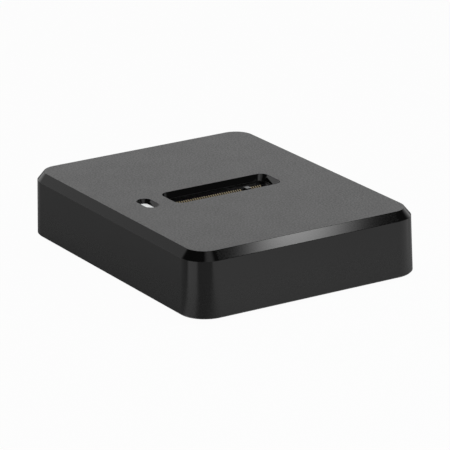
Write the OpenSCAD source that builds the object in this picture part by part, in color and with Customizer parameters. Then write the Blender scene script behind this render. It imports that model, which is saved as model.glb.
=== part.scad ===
// Docking station for bare M.2 solid state cards.
// Frame: X runs along the front edge, Y to the back, Z up. The origin lies in the middle of the
// footprint, on the surface that the feet stand on. Sizes are in millimetres.

/* [Housing] */
// Width of the housing at its bottom edge
base_w = 50; // [47:0.5:70]
// Length of the housing at its bottom edge
base_l = 64.4; // [60:0.2:90]
// Height of the housing without its feet
housing_h = 12.6; // [11.5:0.1:18]
// Radius of the upright corners at the bottom edge
corner_r = 5.4; // [5:0.1:8]
// How far each side leans in from its foot to the chamfer
draft = 0.3; // [0.1:0.05:0.6]
// Thickness of the side walls below the chamfer
wall_t = 1.9; // [1.5:0.1:2.2]
// Thickness of the top plate
plate_t = 1.25; // [1.1:0.05:2]
// Width of the chamfer round the top, seen from above
chamfer_w = 1.3; // [0.6:0.05:1.8]
// Height of the chamfer round the top
chamfer_h = 1.6; // [0.6:0.05:2]
// Small break along the bottom edge
edge_break = 0.25; // [0.1:0.05:0.5]
// Thickness of the rim that hides the cover's edge
rim_t = 1.2; // [0.9:0.1:1.5]

/* [Drive slot] */
// Width of the slot in the top plate, along X
slot_w = 23.4; // [23.3:0.1:26]
// Length of the slot in the top plate, along Y
slot_l = 7.4; // [6.6:0.1:9]
// Corner radius of the slot
slot_r = 1.7; // [1:0.1:1.8]
// How far the slot's wall leans in through the plate, to guide a card
slot_flare = 0.4; // [0.2:0.05:0.45]
// Step inwards at the foot of the slot's wall
slot_step = 0.1; // [0.05:0.05:0.15]
// Thickness of the skirt that guides a card below the plate
skirt_t = 1; // [0.8:0.1:1.5]
// Height of the skirt below the plate
skirt_h = 2; // [1:0.1:2.5]

/* [Status lamp] */
// Width of the lamp hole, along X
lamp_w = 3; // [2.4:0.1:3.6]
// Length of the lamp hole, along Y
lamp_l = 5.8; // [4.5:0.1:8]
// Land between the slot and the lamp hole
lamp_gap = 2.85; // [2.4:0.05:3.2]
// Place of the lamp hole along Y
lamp_y = -0.05; // [-3:0.05:3]
// Depth of the light pipe's face below the top
lamp_recess = 0.8; // [0.7:0.05:1.2]
// How far the lamp opening's wall leans in down to the light pipe
lamp_flare = 0.45; // [0.2:0.05:0.5]
// Wall of the collar that holds the light pipe
collar_t = 0.9; // [0.7:0.1:1.1]
// Height of the collar below the plate
collar_h = 2.6; // [1.5:0.1:2.8]
// Thickness of the light pipe's flange
flange_t = 0.8; // [0.5:0.1:1]
// How far the flange stands out of the light pipe
flange_w = 0.7; // [0.4:0.1:0.9]

/* [Bottom cover] */
// Thickness of the cover
cover_t = 1.8; // [1.6:0.1:2.4]
// Height of the locating lips on the cover
lip_h = 0.8; // [0.4:0.1:1]
// Thickness of the locating lips
lip_t = 1; // [0.8:0.1:1.4]
// Land between a lip's end and the corner boss
lip_land = 2; // [1:0.5:5]

/* [Feet] */
// Diameter of a foot
foot_d = 8; // [6:0.5:10]
// Height of a foot
foot_h = 1.6; // [1.2:0.1:2.4]
// Depth of the recess that a foot sits in
foot_recess = 0.6; // [0.4:0.1:0.8]
// Bevel round a foot's lower edge
foot_bevel = 0.4; // [0.2:0.1:0.6]
// Distance from a foot's middle to the housing's side
foot_inset_x = 8.4; // [7:0.1:10]
// Distance from a foot's middle to the housing's front or back
foot_inset_y = 14; // [13:0.5:18]

/* [Screws and bosses] */
// Diameter of a screw's shank
screw_d = 2; // [1.6:0.1:2.4]
// Diameter of a screw's head
head_d = 3.6; // [3:0.1:4]
// Height of a screw's head
head_h = 0.9; // [0.7:0.1:1]
// Length of a cover screw below its head
cover_screw_l = 7; // [5:0.5:8]
// Length of a board screw below its head
board_screw_l = 4.5; // [3.5:0.5:5.5]
// Depth of the cover's counterbore
counterbore_depth = 1.1; // [1:0.05:1.3]
// Diameter of the corner bosses that take the cover screws
boss_d = 5; // [4:0.1:5.6]
// Thickness of the ribs between a boss and the walls
rib_t = 1; // [0.8:0.1:1.5]
// Diameter of the posts that carry the board
post_d = 4.6; // [4:0.1:5.2]
// Distance from a post's middle to the housing's side
post_inset_x = 8.4; // [7:0.1:9]
// Distance from a post's middle to the housing's front or back
post_inset_y = 12.2; // [11:0.1:14]
// Width of the cross recess in a screw's head
drive_cut_w = 0.45; // [0.3:0.05:0.6]
// Length of the cross recess in a screw's head
drive_cut_l = 1.9; // [1.4:0.1:2.2]
// Depth of the cross recess in a screw's head
drive_cut_depth = 0.5; // [0.3:0.1:0.6]

/* [Circuit board] */
// Thickness of the board
board_t = 1.2; // [0.8:0.1:1.6]
// Height of the board's underside above the cover
board_lift = 1.4; // [1.3:0.1:2]

/* [Drive socket] */
// Depth of the rear jaw's edge below the top plate's face
socket_depth = 1.35; // [1.2:0.05:1.5]
// Width of the socket body, along X
socket_w = 22; // [21.6:0.1:22.1]
// Thickness of the socket body, along Y
socket_l = 5; // [4.6:0.1:5.2]
// How much lower the front jaw is
jaw_drop = 1.3; // [0.8:0.1:1.6]
// Width of a card's edge between the socket's ends
card_w = 19.85; // [19.6:0.05:20]
// Thickness of a card's edge
card_t = 0.8; // [0.7:0.05:0.9]
// Depth of the card groove below the rear jaw's edge
groove_depth = 3.4; // [2.8:0.1:3.8]
// Place of the key rib from the socket's middle, along X
key_x = 6.125; // [5.8:0.025:6.4]
// Width of the key rib
key_w = 1; // [0.8:0.05:1.1]
// Height of the key rib above the rear jaw's edge
key_rise = 0.35; // [0.1:0.05:0.5]
// Width of a comb slot
comb_w = 0.32; // [0.28:0.01:0.34]
// Depth of the comb slots from the socket's middle plane
comb_l = 1.3; // [1.2:0.05:1.5]
// Thickness of the web between the two combs
web_t = 0.7; // [0.5:0.05:0.8]
// Height of the tunnel for the contact tails
tail_tunnel_h = 0.6; // [0.55:0.05:0.9]
// Diameter of the socket's locating pegs
peg_d = 1; // [0.8:0.1:1.2]
// Distance between the locating pegs
peg_pitch = 19; // [18:0.5:20]
// Thickness of the metal hold-downs
hold_t = 0.2; // [0.15:0.05:0.3]
// Length of a hold-down, along Y
hold_l = 2.4; // [1.6:0.1:3]
// Height of a hold-down
hold_h = 2.2; // [1.5:0.1:3]
// Reach of a hold-down's foot over the board
hold_foot = 1.2; // [0.8:0.1:1.4]

/* [Spring contacts] */
// Pitch of the contacts
contact_pitch = 0.5; // [0.48:0.01:0.52]
// Width of one contact, along X
contact_w = 0.2; // [0.16:0.01:0.22]
// Thickness of the contact strip
contact_t = 0.15; // [0.12:0.01:0.18]
// Gap between the two rows with no card in the socket
contact_gap = 0.36; // [0.3:0.02:0.5]
// Distance of the root bend from the socket's middle plane
root_y = 0.95; // [0.9:0.01:1]
// Outer radius of the root bend
root_r = 0.2; // [0.16:0.01:0.22]
// Depth of the touching point below the jaw's edge
bump_depth = 0.28; // [0.1:0.02:0.4]
// Rise of the lead-in above the touching point
lead_in_h = 0.3; // [0.2:0.01:0.4]
// Lean of the lead-in away from the card
lead_in_y = 0.5; // [0.3:0.02:0.54]
// Reach of a contact's tail beyond its root
tail_l = 1.9; // [1.7:0.1:2]
// Layer of solder under a tail
solder_t = 0.1; // [0.09:0.01:0.12]

/* [Port] */
// Width of the port's metal shell
usb_w = 8.94; // [8.7:0.02:9.2]
// Height of the port's metal shell
usb_h = 3.26; // [3.1:0.02:3.4]
// Length of the port's metal shell
usb_l = 7.35; // [7:0.05:8]
// Thickness of the shell's sheet
usb_sheet = 0.3; // [0.2:0.05:0.3]
// Depth of the port's mouth behind the back wall's foot
usb_recess = 0.6; // [0.4:0.1:1]
// Width of the contact tongue
tongue_w = 6.69; // [6.4:0.01:6.9]
// Thickness of the contact tongue
tongue_t = 0.7; // [0.6:0.05:0.8]
// Depth of the tongue's end behind the mouth
tongue_recess = 0.6; // [0.4:0.1:1]
// Length of the insulator behind the tongue
insulator_l = 2; // [1.5:0.1:2.5]
// Contacts on each face of the tongue
usb_contacts = 12; // [8:1:12]
// Width of one port contact
usb_contact_w = 0.25; // [0.2:0.01:0.3]
// Thickness of one port contact
usb_contact_t = 0.06; // [0.04:0.01:0.08]
// Bare edge of the tongue in front of its contacts
usb_contact_edge = 0.5; // [0.3:0.1:0.8]
// Length of a mounting leg, along Y
leg_l = 0.9; // [0.7:0.1:1.1]
// Thickness of a mounting leg
leg_t = 0.25; // [0.2:0.05:0.3]
// Distance between the front and the rear legs
leg_pitch = 3.6; // [3:0.1:4]
// Distance of the rear legs from the shell's rear end
leg_start = 1; // [0.6:0.1:1.5]

/* [Board parts] */
// Side of the controller's package
controller_w = 8; // [6:0.5:9]
// Height of the controller's package
controller_h = 0.85; // [0.6:0.05:1]
// Length of the memory's package, along Y
flash_l = 4.9; // [4.8:0.1:5.2]
// Width of the memory's package, along X
flash_w = 3.9; // [3.8:0.1:4]
// Height of the memory's package
flash_h = 1.5; // [1.2:0.05:1.75]
// Side of a power inductor
inductor_w = 4; // [3:0.5:5]
// Height of a power inductor
inductor_h = 2; // [1.2:0.1:3]
// Radius of a power inductor's corners
inductor_corner = 0.6; // [0.3:0.1:1]
// Diameter of the round mark at a chip's first corner
mark_d = 0.7; // [0.5:0.1:1]
// Depth of the round mark
mark_depth = 0.1; // [0.05:0.05:0.2]
// Width of one memory lead
flash_lead_w = 0.4; // [0.3:0.05:0.5]
// Thickness of a memory lead
flash_lead_t = 0.2; // [0.15:0.05:0.25]
// Reach of a memory lead over the board
flash_lead_l = 1; // [0.8:0.1:1.2]
// Pitch of the memory leads
flash_pitch = 1.27; // [1.2:0.01:1.3]
// Gap under the memory's package
flash_lift = 0.1; // [0.05:0.05:0.2]
// Width, length and height of the crystal's base
crystal_size = [2.5, 3.2, 0.5]; // [0.4:0.1:4]
// Land round the crystal's lid
crystal_lid_edge = 0.2; // [0.1:0.05:0.3]
// Height of the crystal's lid
crystal_lid_t = 0.2; // [0.1:0.05:0.4]
// Width, length and height of a voltage regulator
regulator_size = [2, 2, 0.8]; // [0.5:0.1:3]
// Width, length and height of a bulk capacitor
bulk_size = [2.8, 3.5, 1.9]; // [1:0.1:4]
// Width, length and height of a ceramic capacitor
ceramic_size = [0.8, 1.6, 0.8]; // [0.5:0.1:2]
// Number of ceramic capacitors
ceramic_count = 6; // [2:1:8]
// Width, length and height of a chip resistor
resistor_size = [0.5, 1, 0.35]; // [0.3:0.05:1.2]
// Number of chip resistors
resistor_count = 4; // [2:1:6]
// Width, length and height of the port's surge protector
esd_size = [2.5, 1, 0.6]; // [0.5:0.1:3]
// Width, length and height of the lamp's case
led_size = [0.8, 1.6, 0.4]; // [0.3:0.1:2]
// Width, length and height of the lamp's lens
lens_size = [0.8, 1, 0.3]; // [0.2:0.1:1.2]
// Free board between neighbouring parts
part_gap = 1.2; // [0.8:0.1:1.6]

/* [Clearances] */
// Gap between the cover and the rim
cover_gap = 0.15; // [0.1:0.05:0.3]
// Gap round a foot in its recess
foot_gap = 0.1; // [0.05:0.05:0.2]
// Gap round a screw's shank
screw_gap = 0.05; // [0.03:0.01:0.1]
// Gap round a screw's head
head_gap = 0.15; // [0.1:0.05:0.3]
// Gap between the board and the housing
board_gap = 0.6; // [0.3:0.1:1]
// Gap round the light pipe in its collar
pipe_gap = 0.1; // [0.05:0.05:0.2]
// Gap between the light pipe and the lamp
lamp_air = 0.2; // [0.1:0.05:0.4]
// Gap round the port's shell in the back wall
port_gap = 0.25; // [0.15:0.05:0.4]
// Gap round pegs and legs in the board
hole_gap = 0.1; // [0.05:0.05:0.2]
// Gap round a card's edge in the groove
card_gap = 0.1; // [0.05:0.01:0.15]
// Gap round the insulator inside the port's shell
insulator_gap = 0.03; // [0.02:0.01:0.05]

/* [Hidden] */
$fn = 64;

// Overshoot of a cut past the face that it opens
past = 0.5;
// Sink of a rib or leg into the wall that it joins
bite = 0.3;

// Heights above the surface that the feet stand on
z_base = foot_h - foot_recess;
z_top = z_base + housing_h;
z_plate = z_top - plate_t;
z_seat = z_base + cover_t;
z_board = z_seat + board_lift;
z_board_top = z_board + board_t;

// Corner axes of the plan, and radii about them
corner_x = base_w / 2 - corner_r;
corner_y = base_l / 2 - corner_r;
side_h = housing_h - chamfer_h;
r_inner = corner_r - draft - wall_t;
r_rim = corner_r - rim_t;
r_cover = r_rim - cover_gap;
r_shoulder = corner_r - draft;
r_break = corner_r - draft * edge_break / side_h;

// Plan of the inside, the cover and the board
inner_w = 2 * (corner_x + r_inner);
inner_l = 2 * (corner_y + r_inner);
cover_w = 2 * (corner_x + r_cover);
cover_l = 2 * (corner_y + r_cover);
board_w = inner_w - 2 * board_gap;
board_l = inner_l - 2 * board_gap;

foot_x = base_w / 2 - foot_inset_x;
foot_y = base_l / 2 - foot_inset_y;
post_x = base_w / 2 - post_inset_x;
post_y = base_l / 2 - post_inset_y;
lamp_x = -(slot_w / 2 + lamp_gap + lamp_w / 2);
slot_x = slot_w / 2 - slot_r;
slot_y = slot_l / 2 - slot_r;
guide_in = slot_flare + slot_step;
pipe_w = lamp_w - 2 * lamp_flare;
pipe_l = lamp_l - 2 * lamp_flare;
z_pipe = z_top - lamp_recess;

// Screw seats and blind holes
hole_d = screw_d + 2 * screw_gap;
bore_d = head_d + 2 * head_gap;
hole_end = 1;
cover_head_z = z_base + counterbore_depth;
cover_hole_top = cover_head_z + cover_screw_l + hole_end;
board_hole_top = z_board + board_screw_l + hole_end;

// Drive socket
z_jaw = z_top - socket_depth;
z_front_jaw = z_jaw - jaw_drop;
z_groove = z_jaw - groove_depth;
groove_w = card_w + 2 * card_gap;
groove_l = card_t + 2 * card_gap;
row_front = [for (i = [0 : 28]) i, for (i = [33 : 36]) i];
row_rear = [for (i = [0 : 28]) i, for (i = [33 : 37]) i];
row_front_x = -36 / 2 * contact_pitch;
row_rear_x = -37 / 2 * contact_pitch;
z_root = z_board_top + solder_t + root_r;
bump_r = contact_t * 2 / 3;
tip_r = contact_t / 3;
peg_l = board_t;

// Port
usb_mouth = base_l / 2 - usb_recess;
usb_back = usb_mouth - usb_l;
z_usb = z_board_top + usb_h / 2;
usb_bore_w = usb_w - 2 * usb_sheet;
usb_bore_h = usb_h - 2 * usb_sheet;
leg_x = usb_w / 2 - leg_t / 2;

// Places of the board's parts, counted from the socket and from the board's edges
socket_edge = max(socket_l / 2, root_y + tail_l);
controller_y = socket_edge + part_gap + controller_w / 2;
side_x = controller_w / 2 + part_gap;
supply_y = -(socket_edge + part_gap + inductor_w / 2);
supply_pitch = inductor_w + part_gap;
regulator_y = supply_y - inductor_w / 2 - part_gap - regulator_size[1] / 2;
ceramic_pitch = ceramic_size[0] + part_gap;
ceramic_y = regulator_y - regulator_size[1] / 2 - part_gap - ceramic_size[1] / 2;
resistor_pitch = resistor_size[0] + part_gap;
resistor_y = controller_y + controller_w / 2 + part_gap + resistor_size[1] / 2;
crystal_place = [side_x + crystal_size[0] / 2, controller_y];
flash_x = -(side_x + flash_lead_l + flash_w / 2);
flash_top = z_board_top + flash_lift + flash_h;

// A rectangle with true round corners, centred
module round_rect(w, l, r) {
    square([w, l - 2 * r], center = true);
    square([w - 2 * r, l], center = true);
    for (x = [-1, 1], y = [-1, 1])
        translate([x * (w / 2 - r), y * (l / 2 - r)])
            circle(r);
}

// A slot with full round ends across its narrow way, centred
module stadium(w, l) {
    r = min(w, l) / 2;
    square([w - (w > l ? 2 * r : 0), l - (w > l ? 0 : 2 * r)], center = true);
    for (s = [-1, 1])
        translate(w > l ? [s * (w / 2 - r), 0] : [0, s * (l / 2 - r)])
            circle(r);
}

// Upright prism of a plan between two heights
module prism(z0, z1) {
    translate([0, 0, z0])
        linear_extrude(z1 - z0)
            children();
}

// Box on the board's upper face, centred on a place
module board_box(place, size, lift = 0) {
    translate([place[0] - size[0] / 2, place[1] - size[1] / 2, z_board_top + lift])
        cube(size);
}

// Section through the wall and the plate, in distance from a corner's axis and height
module wall_section() {
    polygon([
        [0, z_plate],
        [r_inner, z_plate],
        [r_inner, z_seat],
        [r_rim, z_seat],
        [r_rim, z_base],
        [corner_r - edge_break, z_base],
        [r_break, z_base + edge_break],
        [r_shoulder, z_top - chamfer_h],
        [r_shoulder - chamfer_w, z_top],
        [0, z_top]
    ]);
}

// A section, in distance from a corner's axis and height, carried round a plan: turned corners and
// straight runs about a flat middle between two heights, with no run or middle where a half size is nought
module carried_round(half_x, half_y, z0, z1) {
    for (k = [0 : 3]) {
        along = k % 2 == 0 ? half_x : half_y;
        across = k % 2 == 0 ? half_y : half_x;
        rotate(90 * k) {
            if (along > 0)
                translate([0, across, 0])
                    rotate([90, 0, 90])
                        linear_extrude(2 * along, center = true)
                            children();
            translate([along, across, 0])
                rotate_extrude(angle = 90)
                    children();
        }
    }
    if (min(half_x, half_y) > 0)
        translate([-half_x, -half_y, z0])
            cube([2 * half_x, 2 * half_y, z1 - z0]);
}

// Section of an opening whose wall leans in from the top face down to its foot
module flared_section(r, flare, z_foot) {
    polygon([
        [0, z_foot],
        [r - flare, z_foot],
        [r, z_top],
        [r, z_top + past],
        [0, z_top + past]
    ]);
}

module at_corners(x, y) {
    for (sx = [-1, 1], sy = [-1, 1])
        translate([sx * x, sy * y, 0])
            scale([sx, sy, 1])
                children();
}

// Boss for a cover screw, tied to both walls by ribs
module corner_boss() {
    prism(z_seat, z_plate + bite)
        circle(d = boss_d);
    translate([0, -rib_t / 2, z_seat + lip_h])
        cube([r_inner + bite, rib_t, z_plate - z_seat - lip_h + bite]);
    translate([-rib_t / 2, 0, z_seat + lip_h])
        cube([rib_t, r_inner + bite, z_plate - z_seat - lip_h + bite]);
}

module top_housing() {
    color("#26272a")
        difference() {
            union() {
                carried_round(corner_x, corner_y, z_plate, z_top)
                    wall_section();
                at_corners(corner_x, corner_y)
                    corner_boss();
                at_corners(post_x, post_y)
                    prism(z_board_top, z_plate + bite)
                        circle(d = post_d);
                prism(z_plate - skirt_h, z_plate + bite)
                    round_rect(slot_w + 2 * (skirt_t - guide_in), slot_l + 2 * (skirt_t - guide_in),
                        slot_r + skirt_t - guide_in);
                translate([lamp_x, lamp_y])
                    prism(z_plate - collar_h, z_plate + bite)
                        stadium(pipe_w + 2 * collar_t, pipe_l + 2 * collar_t);
            }
            carried_round(slot_x, slot_y, z_plate, z_top + past)
                flared_section(slot_r, slot_flare, z_plate);
            prism(z_plate - skirt_h - past, z_plate + past)
                round_rect(slot_w - 2 * guide_in, slot_l - 2 * guide_in, slot_r - guide_in);
            translate([lamp_x, lamp_y]) {
                carried_round(0, (lamp_l - lamp_w) / 2, z_pipe, z_top + past)
                    flared_section(lamp_w / 2, lamp_flare, z_pipe);
                prism(z_plate - collar_h - past, z_pipe + past)
                    stadium(pipe_w, pipe_l);
            }
            at_corners(corner_x, corner_y)
                prism(z_seat - past, cover_hole_top)
                    circle(d = hole_d);
            at_corners(post_x, post_y)
                prism(z_board_top - past, board_hole_top)
                    circle(d = hole_d);
            translate([0, base_l / 2 + past, z_usb])
                rotate([90, 0, 0])
                    linear_extrude(draft + wall_t + 2 * past)
                        stadium(usb_w + 2 * port_gap, usb_h + 2 * port_gap);
        }
}

// One locating lip inside a wall, its outer face against the Y side
module cover_lip(len, reach) {
    translate([-len / 2, reach - cover_gap - lip_t, z_seat - bite])
        cube([len, lip_t, lip_h + bite]);
}

module bottom_cover() {
    color("#242528")
        difference() {
            union() {
                prism(z_base, z_seat)
                    round_rect(cover_w, cover_l, r_cover);
                for (k = [0 : 3])
                    rotate(90 * k)
                        cover_lip(2 * ((k % 2 == 0 ? corner_x : corner_y) - boss_d / 2 - lip_land),
                            (k % 2 == 0 ? inner_l : inner_w) / 2);
            }
            at_corners(foot_x, foot_y)
                prism(z_base - past, z_base + foot_recess)
                    circle(d = foot_d + 2 * foot_gap);
            at_corners(corner_x, corner_y) {
                prism(z_base - past, cover_head_z)
                    circle(d = bore_d);
                prism(z_base, z_seat + past)
                    circle(d = hole_d);
            }
        }
}

module foot(sx, sy) {
    color("#1b1b1c")
        translate([sx * foot_x, sy * foot_y, 0])
            rotate_extrude()
                polygon([
                    [0, 0],
                    [foot_d / 2 - foot_bevel, 0],
                    [foot_d / 2, foot_bevel],
                    [foot_d / 2, foot_h],
                    [0, foot_h]
                ]);
}

module foot_front_left() foot(-1, -1);
module foot_front_right() foot(1, -1);
module foot_rear_left() foot(-1, 1);
module foot_rear_right() foot(1, 1);

// Cross-headed screw pointing up, its head's seat at z = 0
module screw(len) {
    difference() {
        rotate_extrude()
            polygon([
                [0, -head_h],
                [head_d / 2 - head_h / 2, -head_h],
                [head_d / 2, -head_h / 2],
                [head_d / 2, 0],
                [screw_d / 2, 0],
                [screw_d / 2, len - screw_d / 2],
                [0, len]
            ]);
        for (turn = [0, 90])
            rotate(turn)
                translate([-drive_cut_l / 2, -drive_cut_w / 2, -head_h - past])
                    cube([drive_cut_l, drive_cut_w, drive_cut_depth + past]);
    }
}

module cover_screws() {
    color("#3a3b3d")
        at_corners(corner_x, corner_y)
            translate([0, 0, cover_head_z])
                screw(cover_screw_l);
}

module board_screws() {
    color("#b9bcc0")
        at_corners(post_x, post_y)
            translate([0, 0, z_board])
                screw(board_screw_l);
}

// Slots in the board for the port's four mounting legs
module leg_places() {
    for (sx = [-1, 1], k = [0, 1])
        translate([sx * leg_x, usb_back + leg_start + k * leg_pitch + leg_l / 2])
            children();
}

module circuit_board() {
    color("#14532d")
        prism(z_board, z_board_top)
            difference() {
                square([board_w, board_l], center = true);
                at_corners(corner_x, corner_y) {
                    circle(d = boss_d + 2 * board_gap);
                    translate([-boss_d / 2 - board_gap, 0])
                        square(boss_d / 2 + board_gap + r_inner);
                    translate([0, -boss_d / 2 - board_gap])
                        square(boss_d / 2 + board_gap + r_inner);
                }
                at_corners(post_x, post_y)
                    circle(d = hole_d);
                for (s = [-1, 1])
                    translate([s * peg_pitch / 2, 0])
                        circle(d = peg_d + 2 * hole_gap);
                leg_places()
                    square([leg_t + 2 * hole_gap, leg_l + 2 * hole_gap], center = true);
            }
}

// Section of the socket across its length: two jaws of unequal height on a keel between the tails
module socket_section() {
    half = socket_l / 2;
    polygon([
        [-groove_l / 2, z_board_top],
        [groove_l / 2, z_board_top],
        [groove_l / 2, z_board_top + tail_tunnel_h],
        [half, z_board_top + tail_tunnel_h],
        [half, z_jaw],
        [groove_l / 2, z_jaw],
        [groove_l / 2, z_groove],
        [-groove_l / 2, z_groove],
        [-groove_l / 2, z_front_jaw],
        [-half, z_front_jaw],
        [-half, z_board_top + tail_tunnel_h],
        [-groove_l / 2, z_board_top + tail_tunnel_h]
    ]);
}

// Comb slot of one contact on the front side, from the tail's tunnel up through the jaw
module comb_slot(x, jaw) {
    translate([x - comb_w / 2, -comb_l, z_board_top])
        cube([comb_w, comb_l - web_t / 2, jaw - z_board_top + past]);
}

module drive_socket_body() {
    end_w = (socket_w - groove_w) / 2;
    color("#1c1c1e") {
        difference() {
            union() {
                rotate([90, 0, 90])
                    linear_extrude(groove_w, center = true)
                        socket_section();
                for (s = [-1, 1])
                    translate([s * (groove_w + end_w) / 2 - end_w / 2, -socket_l / 2, z_board_top])
                        cube([end_w, socket_l, z_front_jaw - z_board_top]);
                for (s = [-1, 1])
                    translate([s * (groove_w + end_w) / 2 - end_w / 2, 0, z_board_top])
                        cube([end_w, socket_l / 2, z_jaw - z_board_top]);
                translate([key_x - key_w / 2, -groove_l / 2, z_groove])
                    cube([key_w, groove_l + bite, z_jaw + key_rise - z_groove]);
                for (s = [-1, 1])
                    translate([s * peg_pitch / 2, 0])
                        prism(z_board_top - peg_l, z_board_top + tail_tunnel_h)
                            circle(d = peg_d);
            }
            for (i = row_front)
                comb_slot(row_front_x + i * contact_pitch, z_front_jaw);
            mirror([0, 1, 0])
                for (i = row_rear)
                    comb_slot(row_rear_x + i * contact_pitch, z_jaw);
        }
    }
}

// A strip between two points of a contact's section
module strip(a, b, ta, tb) {
    d = (b - a) / norm(b - a);
    n = [-d[1], d[0]];
    polygon([a - n * ta / 2, b - n * tb / 2, b + n * tb / 2, a + n * ta / 2]);
}

// Section of one front contact about its root bend: tail, root, leaning beam, touching point, lead-in
module contact_section(jaw) {
    bump = [root_y - contact_gap / 2 - bump_r, jaw - bump_depth - z_root];
    tip = bump + [-lead_in_y, lead_in_h];
    circle(root_r);
    translate([-tail_l, -root_r])
        square([tail_l, contact_t]);
    strip([0, 0], bump, contact_t * 4 / 3, contact_t);
    translate(bump)
        circle(bump_r);
    strip(bump, tip, contact_t, 2 * tip_r);
    translate(tip)
        circle(tip_r);
}

module contact_row(places, start, jaw) {
    for (i = places)
        translate([start + i * contact_pitch, -root_y, z_root])
            rotate([90, 0, 90])
                linear_extrude(contact_w, center = true)
                    contact_section(jaw);
}

module front_contacts() {
    color("#d8b45a")
        contact_row(row_front, row_front_x, z_front_jaw);
}

module rear_contacts() {
    color("#d8b45a")
        mirror([0, 1, 0])
            contact_row(row_rear, row_rear_x, z_jaw);
}

module socket_hold_downs() {
    color("#c9ccd0")
        for (s = [-1, 1])
            scale([s, 1, 1])
                translate([socket_w / 2, -hold_l / 2, z_board_top]) {
                    cube([hold_t, hold_l, hold_h]);
                    cube([hold_foot, hold_l, hold_t]);
                }
}

// A plan in X and Z carried along Y
module along_y(y0, y1) {
    translate([0, y1, z_usb])
        rotate([90, 0, 0])
            linear_extrude(y1 - y0)
                children();
}

module usb_c_shell() {
    color("#c4c7cb") {
        along_y(usb_back, usb_mouth)
            difference() {
                stadium(usb_w, usb_h);
                stadium(usb_bore_w, usb_bore_h);
            }
        along_y(usb_back, usb_back + usb_sheet)
            stadium(usb_w, usb_h);
        leg_places()
            translate([-leg_t / 2, -leg_l / 2, z_board])
                cube([leg_t, leg_l, z_usb - z_board]);
    }
}

module usb_c_insulator() {
    front = usb_mouth - tongue_recess;
    color("#1f1f22") {
        along_y(usb_back + usb_sheet, usb_back + usb_sheet + insulator_l)
            stadium(usb_bore_w - 2 * insulator_gap, usb_bore_h - 2 * insulator_gap);
        translate([-tongue_w / 2, usb_back + usb_sheet, z_usb - tongue_t / 2])
            cube([tongue_w, front - usb_back - usb_sheet, tongue_t]);
    }
}

module usb_c_contacts() {
    start = usb_back + usb_sheet + insulator_l;
    len = usb_mouth - tongue_recess - usb_contact_edge - start;
    color("#d8b45a")
        for (i = [0 : usb_contacts - 1], s = [-1, 1])
            translate([(i - (usb_contacts - 1) / 2) * contact_pitch - usb_contact_w / 2, start,
                z_usb + s * (tongue_t + usb_contact_t) / 2 - usb_contact_t / 2])
                cube([usb_contact_w, len, usb_contact_t]);
}

// Flat chip package with a round mark at its first corner
module chip(place, size, mark_d, mark_depth) {
    difference() {
        board_box(place, size);
        translate([place[0] - size[0] / 2 + mark_d, place[1] + size[1] / 2 - mark_d])
            prism(z_board_top + size[2] - mark_depth, z_board_top + size[2] + past)
                circle(d = mark_d);
    }
}

module bridge_controller() {
    color("#202124")
        chip([0, controller_y], [controller_w, controller_w, controller_h], mark_d, mark_depth);
}

module firmware_flash() {
    color("#232427")
        difference() {
            board_box([flash_x, controller_y], [flash_w, flash_l, flash_h], flash_lift);
            translate([flash_x - flash_w / 2 + mark_d, controller_y + flash_l / 2 - mark_d])
                prism(flash_top - mark_depth, flash_top + past)
                    circle(d = mark_d);
        }
}

// Gull-wing leads: a foot on the board and a riser against the package
module flash_leads() {
    color("#c9ccd0")
        for (s = [-1, 1], i = [0 : 3])
            translate([flash_x, controller_y + (i - 1.5) * flash_pitch, z_board_top])
                scale([s, 1, 1])
                    translate([flash_w / 2, -flash_lead_w / 2, 0]) {
                        cube([flash_lead_t, flash_lead_w, flash_lift + flash_h / 2]);
                        cube([flash_lead_l, flash_lead_w, flash_lead_t]);
                    }
}

module crystal() {
    color("#c2c5ca") {
        board_box(crystal_place, crystal_size);
        board_box(crystal_place, crystal_size - [2 * crystal_lid_edge, 2 * crystal_lid_edge, 0]
            + [0, 0, crystal_lid_t]);
    }
}

// Two moulded inductors of the drive's supply, in front of the socket
module power_inductors() {
    color("#3b3d40")
        for (s = [-1, 1])
            translate([s * supply_pitch, supply_y])
                prism(z_board_top, z_board_top + inductor_h)
                    round_rect(inductor_w, inductor_w, inductor_corner);
}

module buck_regulators() {
    color("#1f2023")
        for (s = [-1, 1])
            chip([s * supply_pitch, regulator_y], regulator_size, mark_d / 2, mark_depth);
}

module bulk_capacitors() {
    color("#a8793a")
        for (s = [-1, 1])
            board_box([s * 2 * supply_pitch, supply_y], bulk_size);
}

// A row of decoupling capacitors beyond the regulators
module ceramic_capacitors() {
    color("#b08a5a")
        for (i = [0 : ceramic_count - 1])
            board_box([(i - (ceramic_count - 1) / 2) * ceramic_pitch, ceramic_y], ceramic_size);
}

module chip_resistors() {
    color("#18181a")
        for (i = [0 : resistor_count - 1])
            board_box([(i - (resistor_count - 1) / 2) * resistor_pitch, resistor_y], resistor_size);
}

module esd_protector() {
    color("#202124")
        chip([-(usb_w + esd_size[0]) / 2 - part_gap, usb_back], esd_size, mark_d / 2, mark_depth);
}

module status_led() {
    color("#f4f1e4") {
        board_box([lamp_x, lamp_y], led_size);
        board_box([lamp_x, lamp_y], lens_size, led_size[2]);
    }
}

module light_pipe() {
    z_end = z_board_top + led_size[2] + lens_size[2] + lamp_air;
    z_collar = z_plate - collar_h;
    color("#f2f3f2")
        translate([lamp_x, lamp_y]) {
            prism(z_end, z_pipe)
                stadium(pipe_w - 2 * pipe_gap, pipe_l - 2 * pipe_gap);
            prism(z_collar - flange_t, z_collar)
                stadium(pipe_w + 2 * flange_w, pipe_l + 2 * flange_w);
        }
}

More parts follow.
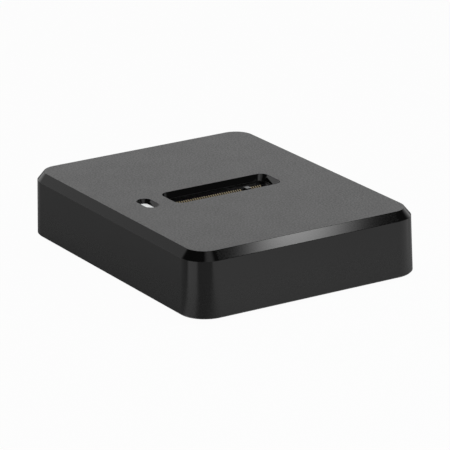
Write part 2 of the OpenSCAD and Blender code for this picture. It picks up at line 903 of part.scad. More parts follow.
top_housing();
bottom_cover();
foot_front_left();
foot_front_right();
foot_rear_left();
foot_rear_right();
cover_screws();
circuit_board();
board_screws();
drive_socket_body();
front_contacts();
rear_contacts();
socket_hold_downs();
usb_c_shell();
usb_c_insulator();
usb_c_contacts();
bridge_controller();
firmware_flash();
flash_leads();
crystal();
power_inductors();
buck_regulators();
bulk_capacitors();
ceramic_capacitors();
chip_resistors();
esd_protector();
status_led();
light_pipe();
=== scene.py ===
import math

import bpy
import numpy as np
from mathutils import Matrix, Vector
from mathutils.geometry import delaunay_2d_cdt


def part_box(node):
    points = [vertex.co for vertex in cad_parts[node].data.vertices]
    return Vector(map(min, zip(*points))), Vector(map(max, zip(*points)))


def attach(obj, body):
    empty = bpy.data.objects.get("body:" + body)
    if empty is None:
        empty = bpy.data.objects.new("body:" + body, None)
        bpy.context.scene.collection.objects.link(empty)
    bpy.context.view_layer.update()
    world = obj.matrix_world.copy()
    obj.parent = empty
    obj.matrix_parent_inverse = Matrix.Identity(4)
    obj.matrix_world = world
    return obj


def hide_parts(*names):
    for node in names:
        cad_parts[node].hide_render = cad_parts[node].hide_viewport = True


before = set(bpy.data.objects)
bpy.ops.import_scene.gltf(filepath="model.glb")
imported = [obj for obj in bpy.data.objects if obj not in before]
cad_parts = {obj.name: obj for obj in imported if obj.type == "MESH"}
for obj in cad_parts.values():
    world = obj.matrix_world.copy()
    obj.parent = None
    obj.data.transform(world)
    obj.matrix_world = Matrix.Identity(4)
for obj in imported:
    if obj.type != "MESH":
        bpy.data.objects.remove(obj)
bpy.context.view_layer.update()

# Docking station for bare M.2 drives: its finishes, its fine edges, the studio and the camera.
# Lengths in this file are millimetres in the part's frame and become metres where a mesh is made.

MM = 0.001
shell_low, shell_high = (np.array(corner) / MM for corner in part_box("top_housing"))

# Housing
base_w, base_l = (shell_high - shell_low)[:2]
z_base, z_top = shell_low[2], shell_high[2]
corner_r, draft, wall_t, plate_t, rim_t = 5.4, 0.3, 1.9, 1.25, 1.2
chamfer_w, chamfer_h, edge_break = 1.3, 1.6, 0.25
shoulder_soft, top_soft, mould_soft = 0.14, 0.10, 0.06
seat_h, board_h, board_t = 1.8, 3.2, 1.2
z_plate = z_top - plate_t
z_seat, z_board = z_base + seat_h, z_base + board_h
z_board_top = z_board + board_t
corner_x, corner_y = base_w / 2 - corner_r, base_l / 2 - corner_r
r_inner, r_rim, r_shoulder = corner_r - draft - wall_t, corner_r - rim_t, corner_r - draft
wall_lean = draft / (z_top - z_base - chamfer_h)
r_break = corner_r - wall_lean * edge_break

# Slot, lamp, bosses and posts
slot_w, slot_l, slot_r, slot_flare, guide_in, skirt_t, skirt_h = 23.4, 7.4, 1.7, 0.4, 0.5, 1.0, 2.0
slot_soft, slot_slide = 0.06, 0.2
lamp_w, lamp_l, lamp_flare, lamp_recess, lamp_gap, lamp_y = 3.0, 5.8, 0.45, 0.8, 2.85, -0.05
lamp_place = (-slot_w / 2 - lamp_gap - lamp_w / 2, lamp_y)
collar_t, collar_h, flange_t, flange_w, pipe_gap, pipe_clear = 0.9, 2.6, 0.8, 0.7, 0.1, 0.9
z_pipe_end, z_pipe_face = z_board_top + pipe_clear, z_top - lamp_recess
hole_r, boss_r, post_r = 1.05, 2.5, 2.3
boss_reach, post_reach, post_in_x, post_in_y = 9.1, 5.5, 8.4, 12.2
boss_hole_top, post_hole_top = z_base + boss_reach, z_board + post_reach
post_x, post_y = base_w / 2 - post_in_x, base_l / 2 - post_in_y

# Feet and port
foot_d, foot_h, foot_bevel = 8.0, 1.6, 0.4
port_w, port_h, port_gap = 8.94, 3.26, 0.25
z_port = z_board_top + port_h / 2

# Small radii of edges, and the flat runs that lead up to an edge
plate_soft, break_soft, slot_foot_soft, guide_soft, skirt_soft = 0.25, 0.10, 0.03, 0.012, 0.10
bore_soft, pipe_face_soft, foot_soft, port_soft = 0.05, 0.12, 0.30, 0.20
run, rim_run, top_run, under_run, post_run, sole_run = 0.3, 0.4, 0.5, 0.2, 0.1, 1.2


# Surfaces

def rounded(corners, radii, steps=4):
    """Open profile whose inner corners are turned on arcs.

    Between unit directions u and w, a corner's arc of radius r starts r * tan(turn / 2) before it and
    runs through centre + r * (cos(a) * side + sin(a) * u) for a from nought to the turn.
    Gives the points and their normals, a normal being the direction turned a quarter to the right.
    """
    corners = np.asarray(corners, float)
    way = np.diff(corners, axis=0)
    way /= np.linalg.norm(way, axis=1, keepdims=True)
    points, ways = [corners[:1]], [way[:1]]
    for corner, u, w, r in zip(corners[1:-1], way[:-1], way[1:], radii):
        left = np.array([-u[1], u[0]])
        turn = math.atan2(u[0] * w[1] - u[1] * w[0], u @ w)
        side = math.copysign(1.0, turn)
        a = np.linspace(0.0, abs(turn), steps + 1)[:, None]
        centre = corner - r * math.tan(abs(turn) / 2) * u + side * r * left
        points.append(centre + r * (np.sin(a) * u - side * np.cos(a) * left))
        ways.append(np.cos(a) * u + side * np.sin(a) * left)
    points, ways = np.concatenate(points + [corners[-1:]]), np.concatenate(ways + [way[-1:]])
    return points, np.stack([ways[:, 1], -ways[:, 0]], axis=1)


def round_plan(half_x, half_y, steps=12):
    """Closed plan of four quarter turns about (+-half_x, +-half_y), as turning axes and outward directions.

    Half sizes of nought give a slot with round ends, or a circle; points that repeat are left out.
    """
    turn = (np.arange(4)[:, None] + np.linspace(0.0, 1.0, steps + 1)) * math.pi / 2
    out = np.stack([np.cos(turn), np.sin(turn)], axis=-1).reshape(-1, 2)
    axis = np.repeat([[half_x, half_y], [-half_x, half_y], [-half_x, -half_y], [half_x, -half_y]],
                     steps + 1, axis=0)
    fresh = np.linalg.norm(axis + out - np.roll(axis + out, 1, axis=0), axis=1) > 1e-9
    return axis[fresh], out[fresh]


def carried(profile, plan):
    """Profile (rho, z) carried round a plan: each point is axis + rho * out, at height z; normals alike."""
    (points, normals), (axis, out) = profile, plan
    shape = (len(points), len(axis), 1)
    place = np.concatenate([axis + points[:, :1, None] * out,
                            np.broadcast_to(points[:, 1:, None], shape)], axis=-1)
    facing = np.concatenate([normals[:, :1, None] * out,
                             np.broadcast_to(normals[:, 1:, None], shape)], axis=-1)
    return place, facing


def turned_back(grid):
    """Upright grid laid along the port's axis: (x, y, z) becomes (x, -z, y), at the port's height."""
    place, facing = grid
    place = np.stack([place[..., 0], -place[..., 2], place[..., 1] + z_port], axis=-1)
    return place, np.stack([facing[..., 0], -facing[..., 2], facing[..., 1]], axis=-1)


def inside(points, loop):
    """Whether each point lies in a closed loop: an odd number of edges cross its row to the right."""
    a, b = loop, np.roll(loop, -1, axis=0)
    x, y = points[:, :1], points[:, 1:]
    spans = (a[:, 1] > y) != (b[:, 1] > y)
    rise = np.where(a[:, 1] == b[:, 1], 1.0, b[:, 1] - a[:, 1])
    crossing = a[:, 0] + (y - a[:, 1]) * (b[:, 0] - a[:, 0]) / rise
    return (spans & (x < crossing)).sum(axis=1) % 2 == 1


class Skin:
    """Closed surface gathered from grids and flat panels that share their vertices."""

    def __init__(self):
        self.place, self.facing, self.gloss, self.faces, self.count = [], [], [], [], 0

    def grid(self, surface, at=(0.0, 0.0), gloss=None, left_out=()):
        """Quads between the rows of a grid that closes on itself; gives the vertex numbers as a grid."""
        place, facing = surface
        rows, columns = place.shape[:2]
        ids = np.arange(rows * columns).reshape(rows, columns) + self.count
        after = np.roll(ids, -1, axis=1)
        quads = np.stack([ids[:-1], after[:-1], after[1:], ids[1:]], axis=-1)
        kept = np.ones(quads.shape[:2], bool)
        for row, column in left_out:
            kept[row, column] = False
        self.faces += quads[kept].tolist()
        self.place.append((place + np.array([*at, 0.0])).reshape(-1, 3))
        self.facing.append(facing.reshape(-1, 3))
        level = np.zeros(rows) if gloss is None else gloss
        self.gloss.append(np.repeat(level, columns))
        self.count += rows * columns
        return ids

    def panel(self, loops, u, v):
        """Flat panel between loops of vertex numbers, in triangles that face u x v."""
        place = np.concatenate(self.place)
        ids = np.concatenate(loops)
        flat = np.stack([place[ids] @ np.array(u, float), place[ids] @ np.array(v, float)], axis=1)
        starts = np.cumsum([0] + [len(loop) for loop in loops[:-1]])
        edges = np.concatenate([
            np.stack([start + np.arange(len(loop)), start + np.roll(np.arange(len(loop)), -1)], axis=1)
            for start, loop in zip(starts, loops)])
        made = delaunay_2d_cdt([Vector(p) for p in flat.tolist()], edges.tolist(), [], 1, 1e-7)
        triangles = np.array([origin[0] for origin in made[3]])[np.array(made[2])]
        corners = flat[triangles]
        for start, loop in zip(starts[1:], loops[1:]):
            open_air = inside(corners.mean(axis=1), flat[start:start + len(loop)])
            triangles, corners = triangles[~open_air], corners[~open_air]
        ab, ac = corners[:, 1] - corners[:, 0], corners[:, 2] - corners[:, 0]
        turn = ab[:, 0] * ac[:, 1] - ab[:, 1] * ac[:, 0]
        triangles = np.where((turn < 0)[:, None], triangles[:, ::-1], triangles)
        self.faces += ids[triangles].tolist()

    def piece(self, name, body, node, finish):
        """The surface as an object in place of a CAD node, with its exact normals and its gloss map."""
        mesh = bpy.data.meshes.new(name)
        mesh.from_pydata((np.concatenate(self.place) * MM).tolist(), [], self.faces)
        mesh.polygons.foreach_set("use_smooth", np.ones(len(self.faces), bool))
        mesh.attributes.new("gloss", "FLOAT", "POINT").data.foreach_set("value", np.concatenate(self.gloss))
        mesh.normals_split_custom_set_from_vertices(np.concatenate(self.facing).tolist())
        mesh.materials.append(finish)
        made = bpy.data.objects.new(name, mesh)
        bpy.context.scene.collection.objects.link(made)
        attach(made, body)
        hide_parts(node)


UP, DOWN = ((1, 0, 0), (0, 1, 0)), ((0, 1, 0), (1, 0, 0))
BACK, FRONT = ((0, 0, 1), (1, 0, 0)), ((1, 0, 0), (0, 0, 1))


def opening_wall(runs, arc):
    """Gloss of the rows of an opening's profile: polished between its edge and its foot."""
    row = np.arange((runs - 1) * arc + 2)
    return ((row >= arc) & (row <= arc + 2)).astype(float)


def housing_shell(finish):
    """Moulded shell: the wall's section carried round the plan, with its openings, bosses and posts.

    The section runs from the plate's underside down the inner wall, round the foot, up the leaning side,
    over the polished chamfer and on to the top. Each profile starts and ends with a short flat run, which
    brings the flat panel's normal up to the rounded edge.
    """
    skin = Skin()
    arc, plan_steps = 5, 20
    wall = rounded(
        [(r_inner - run, z_plate), (r_inner, z_plate), (r_inner, z_seat), (r_rim, z_seat), (r_rim, z_base),
         (corner_r - edge_break, z_base), (r_break, z_base + edge_break),
         (r_shoulder, z_top - chamfer_h), (r_shoulder - chamfer_w, z_top),
         (r_shoulder - chamfer_w - top_run, z_top)],
        [plate_soft, mould_soft, mould_soft, mould_soft, mould_soft, break_soft, shoulder_soft, top_soft],
        arc - 1)
    row = np.arange(len(wall[0]))
    inner_row, outer_row = arc, 6 * arc
    polished = ((row > outer_row) & (row <= outer_row + arc + 2)).astype(float)
    start, end = plan_steps, plan_steps + 1
    ids = skin.grid(carried(wall, round_plan(corner_x, corner_y, plan_steps)), gloss=polished,
                    left_out=[(inner_row, start), (outer_row, start)])
    back_inner, back_outer = (np.array([ids[r, start], ids[r, end], ids[r + 1, end], ids[r + 1, start]])
                              for r in (inner_row, outer_row))

    # The slot's upper edge slides to the right over its foot, so its right end leans the most
    r = slot_r
    place, facing = carried(rounded(
        [(r + rim_run, z_top), (r, z_top), (r - slot_flare, z_plate), (r - guide_in, z_plate),
         (r - guide_in, z_plate - skirt_h), (r - guide_in + skirt_t, z_plate - skirt_h),
         (r - guide_in + skirt_t, z_plate), (r - guide_in + skirt_t + under_run, z_plate)],
        [slot_soft, slot_foot_soft, guide_soft, skirt_soft, skirt_soft, skirt_soft], arc - 1),
        round_plan(slot_w / 2 - r, slot_l / 2 - r))
    rise = np.clip((place[..., 2] - z_plate) / plate_t, 0.0, 1.0)
    place[..., 0] += slot_slide * rise
    facing[..., 2] -= slot_slide / plate_t * facing[..., 0] * ((rise > 0.0) & (rise < 1.0))
    facing /= np.linalg.norm(facing, axis=-1, keepdims=True)
    slot = skin.grid((place, facing), gloss=opening_wall(7, arc))
    r, bore = lamp_w / 2, lamp_w / 2 - lamp_flare
    lamp = skin.grid(carried(rounded(
        [(r + rim_run, z_top), (r, z_top), (bore, z_pipe_face), (bore, z_plate - collar_h),
         (bore + collar_t, z_plate - collar_h), (bore + collar_t, z_plate),
         (bore + collar_t + under_run, z_plate)],
        [slot_soft, bore_soft, bore_soft, skirt_soft, skirt_soft], arc - 1),
        round_plan(0.0, lamp_l / 2 - r)), at=lamp_place, gloss=opening_wall(6, arc))

    under = [ids[0], slot[-1], lamp[-1]]
    for sx in (-1, 1):
        for sy in (-1, 1):
            for x, y, radius, foot, top in ((corner_x, corner_y, boss_r, z_seat, boss_hole_top),
                                            (post_x, post_y, post_r, z_board_top, post_hole_top)):
                post = skin.grid(carried(rounded(
                    [(hole_r - run, top), (hole_r, top), (hole_r, foot), (radius, foot), (radius, z_plate),
                     (radius + post_run, z_plate)], [mould_soft] * 4, 2), round_plan(0.0, 0.0, 8)),
                    at=(sx * x, sy * y))
                skin.panel([post[0]], *DOWN)
                under.append(post[-1])
    skin.panel([ids[-1], slot[0], lamp[0]], *UP)
    skin.panel(under, *DOWN)

    # The port's hole leaves the inner wall at right angles and meets the leaning outer face
    r = port_h / 2 + port_gap
    wall_in, wall_out = corner_y + r_inner, base_l / 2 - wall_lean * (z_port - z_base)
    place, facing = turned_back(carried(rounded(
        [(r + run, -wall_in), (r, -wall_in), (r, -wall_out), (r + run, -wall_out)],
        [mould_soft, port_soft], arc - 1), round_plan(port_w / 2 - port_h / 2, 0.0)))
    reach = (place[..., 1] - wall_in) / (wall_out - wall_in)
    place[..., 1] -= reach * wall_lean * (place[..., 2] - z_port)
    tilt = np.array([0.0, 1.0, wall_lean])
    facing[-2:] = tilt / np.linalg.norm(tilt)
    port = skin.grid((place, facing))
    skin.panel([back_outer, port[-1]], *BACK)
    skin.panel([back_inner, port[0]], *FRONT)
    skin.piece("housing_shell", "dock", "top_housing", finish)


def rubber_foot(node, finish):
    """Round foot: bevelled outline turned about its own axis, closed by flat ends."""
    low, high = (np.array(corner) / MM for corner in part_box(node))
    r = foot_d / 2
    skin = Skin()
    ids = skin.grid(carried(rounded(
        [(r - sole_run, 0.0), (r - foot_bevel, 0.0), (r, foot_bevel), (r, foot_h), (r - top_run, foot_h)],
        [foot_soft, foot_soft, bore_soft]), round_plan(0.0, 0.0, 12)), at=(low + high)[:2] / 2)
    skin.panel([ids[0]], *DOWN)
    skin.panel([ids[-1]], *UP)
    skin.piece(node + "_rubber", "dock", node, finish)


def lamp_pipe(finish):
    """Light pipe: stepped outline carried round a slot with round ends, its face rounded at the edge."""
    r, z_collar = lamp_w / 2 - lamp_flare - pipe_gap, z_plate - collar_h
    r_flange = r + pipe_gap + flange_w
    skin = Skin()
    ids = skin.grid(carried(rounded(
        [(r - rim_run, z_pipe_end), (r, z_pipe_end), (r, z_collar - flange_t),
         (r_flange, z_collar - flange_t), (r_flange, z_collar), (r, z_collar), (r, z_pipe_face),
         (r - rim_run, z_pipe_face)],
        [bore_soft] * 5 + [pipe_face_soft]), round_plan(0.0, (lamp_l - lamp_w) / 2)), at=lamp_place)
    skin.panel([ids[0]], *DOWN)
    skin.panel([ids[-1]], *UP)
    skin.piece("lamp_pipe", "dock", "light_pipe", finish)


# Shader maths

class Wire:
    """An output socket in Python expressions: each operator adds its Math node, either way round."""

    def __init__(self, nodes, socket):
        self.nodes, self.socket = nodes, socket

    def maths(self, operation, first, second):
        return self.nodes.add("Math", {"operation": operation}, {0: first, 1: second})

    def __add__(self, other):
        return self.maths("ADD", self, other)

    def __sub__(self, other):
        return self.maths("SUBTRACT", self, other)

    def __rsub__(self, other):
        return self.maths("SUBTRACT", other, self)

    def __mul__(self, other):
        return self.maths("MULTIPLY", self, other)

    def __gt__(self, other):
        return self.maths("GREATER_THAN", self, other)

    __radd__, __rmul__ = __add__, __mul__

    def ramp(self, low, high, start=0.0, end=1.0, kind="SMOOTHSTEP"):
        """Step from start at low to end at high, smooth unless another kind is named."""
        return self.nodes.add("MapRange", {"interpolation_type": kind},
                              {"Value": self, "From Min": low, "From Max": high,
                               "To Min": start, "To Max": end})


class Nodes:
    """A node tree, filled by one method."""

    def __init__(self, tree):
        self.tree = tree
        tree.nodes.clear()

    def add(self, kind, settings=None, sockets=None, output=0):
        """Adds a node: its settings first, then each socket's value or link. Gives one of its outputs."""
        node = self.tree.nodes.new("ShaderNode" + kind)
        for key, value in (settings or {}).items():
            setattr(node, key, value)
        for key, value in (sockets or {}).items():
            socket = node.inputs[key] if isinstance(key, int) else next(
                s for s in node.inputs if key in (s.identifier, s.name))
            if isinstance(value, Wire):
                self.tree.links.new(value.socket, socket)
            else:
                socket.default_value = value
        found = node.outputs[output] if node.outputs and isinstance(output, int) else next(
            (s for s in node.outputs if output in (s.identifier, s.name)), None)
        return Wire(self, found)

    def blend(self, share, first, second):
        """Colour between two colours."""
        return self.add("Mix", {"data_type": "RGBA"},
                        {"Factor_Float": share, "A_Color": first, "B_Color": second}, "Result_Color")

    def noise(self, size, detail=2.0, rough=0.5):
        """Noise on Object coordinates, with grains of about the given size in millimetres."""
        place = self.add("TexCoord", output="Object")
        return self.add("TexNoise", None, {"Vector": place, "Scale": 1.0 / (size * MM), "Detail": detail,
                                           "Roughness": rough})

    def bump(self, height, depth):
        """Normal of a relief whose full height is the given depth in millimetres."""
        return self.add("Bump", None, {"Height": height, "Strength": 1.0, "Distance": depth * MM})

    def rays(self):
        """Whether a ray comes from the camera, from a reflection or through a clear surface."""
        return [self.add("LightPath", output=kind)
                for kind in ("Is Camera Ray", "Is Glossy Ray", "Is Transmission Ray")]

    def along(self, axis):
        """Object coordinate along one axis, in millimetres."""
        place = self.add("TexCoord", output="Object")
        return self.add("SeparateXYZ", None, {"Vector": place}, axis) * (1.0 / MM)


def grey(level, warm=0.0):
    """Linear colour of one level, a little warmer or cooler."""
    return (level * (1.0 + warm), level, level * (1.0 - warm), 1.0)


def surface(name, sockets, constants=None):
    """Material with one Principled shader; sockets(nodes) gives what changes over the surface."""
    material = bpy.data.materials.new(name)
    material.use_nodes = True
    nodes = Nodes(material.node_tree)
    shader = nodes.add("BsdfPrincipled", None, {**(constants or {}), **sockets(nodes)})
    nodes.add("OutputMaterial", None, {"Surface": shader})
    return material


def satin_and_polish(nodes):
    """Fine spark-grained black plastic, polished where the gloss map says: chamfer and opening walls."""
    gloss = nodes.add("Attribute", {"attribute_name": "gloss"}, None, "Fac")
    grain, cloud = nodes.noise(0.34, 2.0, 0.6), nodes.noise(6.0)
    tone = nodes.blend(grain.ramp(0.36, 0.68), grey(0.002), grey(0.011))
    rough = 0.30 + grain.ramp(0.36, 0.68) * 0.18 + cloud.ramp(0.3, 0.7) * 0.02
    return {"Base Color": nodes.blend(gloss, tone, grey(0.003)),
            "Roughness": rough * (1 - gloss) + gloss * 0.05,
            "Normal": nodes.bump(grain * (1 - gloss), 0.024)}


def moulded(dark, light, rough, grain=0.3, relief=0.012, warm=0.0):
    """Moulded plastic, rubber or ceramic: two tones and two roughnesses over a fine grain."""
    def sockets(nodes):
        fine, cloud = nodes.noise(grain, 3.0, 0.6), nodes.noise(grain * 14)
        share = fine.ramp(0.3, 0.72)
        return {"Base Color": nodes.blend(share, grey(dark, warm), grey(light, warm)),
                "Roughness": rough + share * 0.08 + cloud.ramp(0.3, 0.7) * 0.06,
                "Normal": nodes.bump(fine, relief)}
    return sockets


def metal(colour, worn, rough, grain=0.12):
    """Bare or plated metal: drawn streaks along X, with duller patches."""
    def sockets(nodes):
        place = nodes.add("TexCoord", output="Object")
        long = nodes.add("Mapping", None, {"Vector": place, "Scale": (0.25, 1.0, 1.0)})
        streak = nodes.add("TexNoise", None, {"Vector": long, "Scale": 1.0 / (grain * MM), "Detail": 3.0})
        patch = nodes.noise(1.4)
        share = patch.ramp(0.42, 0.75)
        return {"Base Color": nodes.blend(share, (*colour, 1.0), (*worn, 1.0)),
                "Roughness": rough + streak.ramp(0.3, 0.7) * 0.10 + share * 0.08,
                "Normal": nodes.bump(streak, 0.002)}
    return sockets


def solder_mask(nodes):
    """Green mask over copper: faint tracks in a fine mesh."""
    place = nodes.add("TexCoord", output="Object")
    track = nodes.add("TexBrick", None,
                      {"Vector": place, "Scale": 700.0, "Mortar Size": 0.03, "Color1": grey(0.0),
                       "Color2": grey(0.0), "Mortar": grey(1.0)}, "Fac")
    cloud = nodes.noise(2.0)
    base = nodes.blend(cloud.ramp(0.3, 0.7), (0.006, 0.045, 0.020, 1.0), (0.010, 0.062, 0.028, 1.0))
    return {"Base Color": nodes.blend(track * 0.7, base, (0.030, 0.110, 0.045, 1.0)),
            "Roughness": 0.32 + cloud * 0.10,
            "Normal": nodes.bump(track, 0.02)}


def capped(body, node, share):
    """Chip component: coloured body between two tinned ends along Y."""
    low, high = (np.array(corner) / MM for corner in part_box(node))
    middle, reach = (low[1] + high[1]) / 2, (high[1] - low[1]) / 2

    def sockets(nodes):
        off = nodes.add("Math", {"operation": "ABSOLUTE"}, {0: nodes.along("Y") - middle})
        end, cloud = off > reach * share, nodes.noise(0.3)
        return {"Base Color": nodes.blend(end, nodes.blend(cloud.ramp(0.3, 0.7), (*body, 1.0), grey(0.02)),
                                          grey(0.62)),
                "Metallic": end,
                "Roughness": 0.38 + cloud * 0.12}
    return sockets


def white_pipe(nodes):
    """Milky light pipe in two close tones, with a faint painted glow in place of lamp light falling on its
    face.
    """
    cloud = nodes.noise(1.2)
    share = cloud.ramp(0.3, 0.7)
    return {"Base Color": nodes.blend(share, (0.74, 0.75, 0.75, 1.0), (0.80, 0.81, 0.81, 1.0)),
            "Roughness": 0.28 + cloud * 0.08,
            # Painted glow: the emission colour stands in for light falling on the pipe's face.
            "Emission Color": nodes.blend(share, (0.94, 0.97, 1.0, 1.0), (1.0, 1.0, 1.0, 1.0))}


bare = {"Metallic": 1.0}
finishes = {
    "housing_black": surface("housing_satin", satin_and_polish),
    "cover_black": surface("cover_satin", moulded(0.009, 0.018, 0.46)),
    "foot_rubber": surface("foot_rubber_matt", moulded(0.012, 0.028, 0.72, 0.18, 0.03)),
    "screw_black": surface("screw_black_zinc", metal((0.07, 0.07, 0.075), (0.12, 0.12, 0.12), 0.34), bare),
    "screw_steel": surface("screw_bright_zinc", metal((0.60, 0.61, 0.62), (0.45, 0.45, 0.45), 0.30), bare),
    "board_mask": surface("board_green_mask", solder_mask),
    "socket_black": surface("socket_liquid_crystal_polymer", moulded(0.0008, 0.0020, 0.07, 0.15, 0.001)),
    "contact_gold": surface("contact_gold_flash",
                            metal((0.78, 0.65, 0.43), (0.64, 0.54, 0.37), 0.04, 0.06), bare),
    "tinned_metal": surface("tinned_bronze", metal((0.66, 0.65, 0.62), (0.52, 0.51, 0.49), 0.34), bare),
    "port_steel": surface("port_drawn_steel", metal((0.62, 0.62, 0.62), (0.50, 0.50, 0.50), 0.26), bare),
    "port_black": surface("port_insulator", moulded(0.010, 0.020, 0.40, 0.15)),
    "chip_black": surface("chip_epoxy", moulded(0.012, 0.026, 0.52, 0.08, 0.008)),
    "crystal_can": surface("crystal_lid", metal((0.68, 0.67, 0.64), (0.56, 0.55, 0.53), 0.24), bare),
    "inductor_grey": surface("inductor_powder", moulded(0.030, 0.060, 0.58, 0.12, 0.02)),
    "capacitor_amber": surface("bulk_capacitor_case", capped((0.42, 0.20, 0.035), "bulk_capacitors", 0.86)),
    "capacitor_tan": surface("ceramic_capacitor_case",
                             capped((0.34, 0.22, 0.11), "ceramic_capacitors", 0.52)),
    "resistor_black": surface("chip_resistor_case", capped((0.012, 0.012, 0.013), "chip_resistors", 0.56)),
    "led_body": surface("lamp_case", moulded(0.62, 0.74, 0.36, 0.2, 0.004, 0.05)),
    # The pipe's Emission Strength is a painted glow, in place of lamp light on its face.
    "pipe_white": surface("lamp_pipe_milky_painted_glow", white_pipe, {"Emission Strength": 0.22}),
}
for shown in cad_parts.values():
    shown.material_slots[0].material = finishes[shown.material_slots[0].name]

housing_shell(finishes["housing_black"])
lamp_pipe(finishes["pipe_white"])
for node in ("foot_front_left", "foot_front_right", "foot_rear_left", "foot_rear_right"):
    rubber_foot(node, finishes["foot_rubber"])


# Studio

def floor_paper():
    """Pale paper: white to the camera, and dim to shiny surfaces except where light is painted on it.

    That painted light lies in front of the object, past a line along X, and in a streak off its near left
    corner, and shows only in reflections.
    """
    material = bpy.data.materials.new("floor_paper")
    material.use_nodes = True
    nodes = Nodes(material.node_tree)
    cloud = nodes.noise(40.0)
    paper = nodes.add("BsdfDiffuse", None, {"Color": nodes.blend(cloud, grey(0.31), grey(0.33))})
    white = nodes.add("Emission", None, {"Color": grey(1.0), "Strength": 1.0})
    camera, glossy, clear = nodes.rays()
    x, y = nodes.along("X"), nodes.along("Y")
    # Painted light for reflections: a brighter patch on the paper in front of the object, past a line along
    # X.
    front = y.ramp(-36.0, -26.0, 1.0, 0.0) * x.ramp(-26.0, -16.0) * x.ramp(-15.0, 45.0, 1.14, 0.84)
    # Painted light for reflections: a bright streak on the paper off the object's near left corner.
    place = nodes.add("TexCoord", output="Object")
    near_corner, streak_way = (-corner_x * MM, -corner_y * MM, 0.0), (-0.985, -0.17, 0.0)
    away = nodes.add("VectorMath", {"operation": "SUBTRACT"}, {0: place, 1: near_corner})
    line = nodes.add("VectorMath", {"operation": "NORMALIZE"}, {0: away})
    streak = nodes.add("VectorMath", {"operation": "DOT_PRODUCT"}, {0: line, 1: streak_way}, "Value")
    seen_white, dim, painted_light_front_level, painted_light_streak_level = 0.97, 0.08, 0.52, 0.8
    # Reflections see the paper dim, plus the painted patch and the painted streak of light.
    share = (camera + clear) * seen_white + glossy * (
        dim + front * painted_light_front_level + streak.ramp(0.90, 0.98) * painted_light_streak_level)
    mixed = nodes.add("MixShader", None, {0: share, 1: paper, 2: white})
    nodes.add("OutputMaterial", None, {"Surface": mixed})
    return material


def floor_sheet():
    """Flat square sheet under the feet: a grid of two by two points."""
    reach = 3.0
    u, v = np.meshgrid([-reach, reach], [-reach, reach])
    place = np.stack([u.ravel(), v.ravel(), np.zeros(4)], axis=1)
    mesh = bpy.data.meshes.new("floor_sheet")
    mesh.from_pydata(place.tolist(), [], [(0, 1, 3, 2)])
    mesh.materials.append(floor_paper())
    made = bpy.data.objects.new("floor_sheet", mesh)
    bpy.context.scene.collection.objects.link(made)


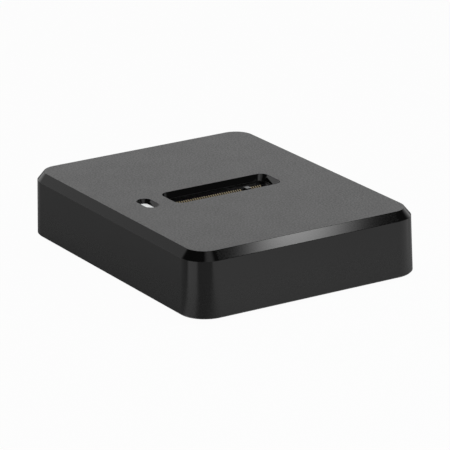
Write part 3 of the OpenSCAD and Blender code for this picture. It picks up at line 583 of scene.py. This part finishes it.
def studio_room():
    """Light by direction, in a dim room.

    A pale wall and a brighter skyline stand behind, over a dark horizon. A dim wall stands at the front
    left, soft patches hang above, overhead, high in front and low at the right, and one small soft box
    hangs at the front right. The soft box's level falls from its peak with the square of how near a ray
    points to its middle, and its ends are cut.
    """
    world = bpy.data.worlds.new("studio_room")
    bpy.context.scene.world = world
    world.use_nodes = True
    nodes = Nodes(world.node_tree)
    way = nodes.add("TexCoord", output="Generated")

    def toward(x, y, z):
        size = math.sqrt(x * x + y * y + z * z)
        return nodes.add("VectorMath", {"operation": "DOT_PRODUCT"},
                         {0: way, 1: (x / size, y / size, z / size)}, "Value")

    up = toward(0.0, 0.0, 1.0)
    horizon = up.ramp(0.0, 0.12)
    wall = toward(0.45, 0.89, 0.0).ramp(0.30, 0.88, 0.0, 1.0) * horizon
    skyline = up.ramp(0.16, 0.36, 0.85, 0.0) * horizon * toward(0.0, 1.0, 0.0).ramp(0.3, 0.7)
    band = up.ramp(0.34, 0.42) * up.ramp(0.45, 0.65, 1.0, 0.0)
    side = toward(-0.5, -0.87, 0.0).ramp(0.6, 0.9, 0.0, 0.6) * band
    above = toward(0.487, 0.05, 0.87).ramp(0.86, 0.99, 0.0, 0.24)
    overhead = up.ramp(0.92, 0.985, 0.0, 0.8)
    front = toward(-0.1, -0.75, 0.65).ramp(0.89, 0.97, 0.0, 0.6)
    right = toward(0.80, -0.58, 0.17).ramp(0.925, 0.98, 0.0, 0.5)
    box_reach, box_peak = math.cos(math.radians(1.46)), 8.0
    spot = toward(0.5050, -0.4746, 0.7237).ramp(box_reach, 1.0, 0.0, 1.0, "LINEAR")
    across = toward(0.858, -0.514, 0.0)
    ends = across.ramp(0.6672, 0.6745) * across.ramp(0.699, 0.705, 1.0, 0.1)
    box = spot * spot * ends * box_peak
    camera, glossy, clear = nodes.rays()
    white = camera + clear + glossy * wall
    room_level, wall_level = 0.02, 0.3
    level = white + (1 - white) * (
        room_level + wall * wall_level + skyline + side + above + overhead + front + right + box)
    room = nodes.add("Background", None, {"Color": grey(1.0), "Strength": level})
    nodes.add("OutputWorld", None, {"Surface": room})


def lamp(name, place, aim, size, power):
    """Square soft lamp at a place, turned to a point, both in millimetres; reflections leave it out."""
    data = bpy.data.lights.new(name, "AREA")
    data.size, data.energy = size * MM, power
    made = bpy.data.objects.new(name, data)
    made.location = Vector(place) * MM
    made.rotation_euler = (Vector(aim) - Vector(place)).to_track_quat("-Z", "Y").to_euler()
    made.visible_glossy = False
    bpy.context.scene.collection.objects.link(made)


def photo_camera():
    """Camera on the photograph's line of sight: forward from heading and dip, turned a little about it."""
    heading, dip, roll = (math.radians(angle) for angle in (30.93, 18.59, -1.03))
    distance, aim_right, aim_up = 643.4, 0.85, -7.04
    flat = math.cos(dip)
    forward = np.array([math.sin(heading) * flat, math.cos(heading) * flat, -math.sin(dip)])
    level = np.array([math.cos(heading), -math.sin(heading), 0.0])
    right = math.cos(roll) * level + math.sin(roll) * np.cross(level, forward)
    up = np.cross(right, forward)
    aim = np.array([0.0, 0.0, z_top]) + aim_right * right + aim_up * up
    place = (aim - distance * forward) * MM
    data = bpy.data.cameras.new("photo_camera")
    data.sensor_width, data.lens = 36.0, 269.35
    data.clip_start, data.clip_end = 0.01, 20.0
    made = bpy.data.objects.new("photo_camera", data)
    matrix = np.eye(4)
    matrix[:3] = np.stack([right, up, -forward, place], axis=1)
    made.matrix_world = Matrix(matrix.tolist())
    bpy.context.scene.collection.objects.link(made)
    bpy.context.scene.camera = made


floor_sheet()
studio_room()
lamp("soft_lamp_left", (-288, -336, 854), (0, 0, 0), 480, 4.0)
lamp("fill_lamp_front", (150, -190, 130), (0, -20, 0), 90, 0.30)
photo_camera()
bpy.context.scene.view_settings.view_transform = "Standard"
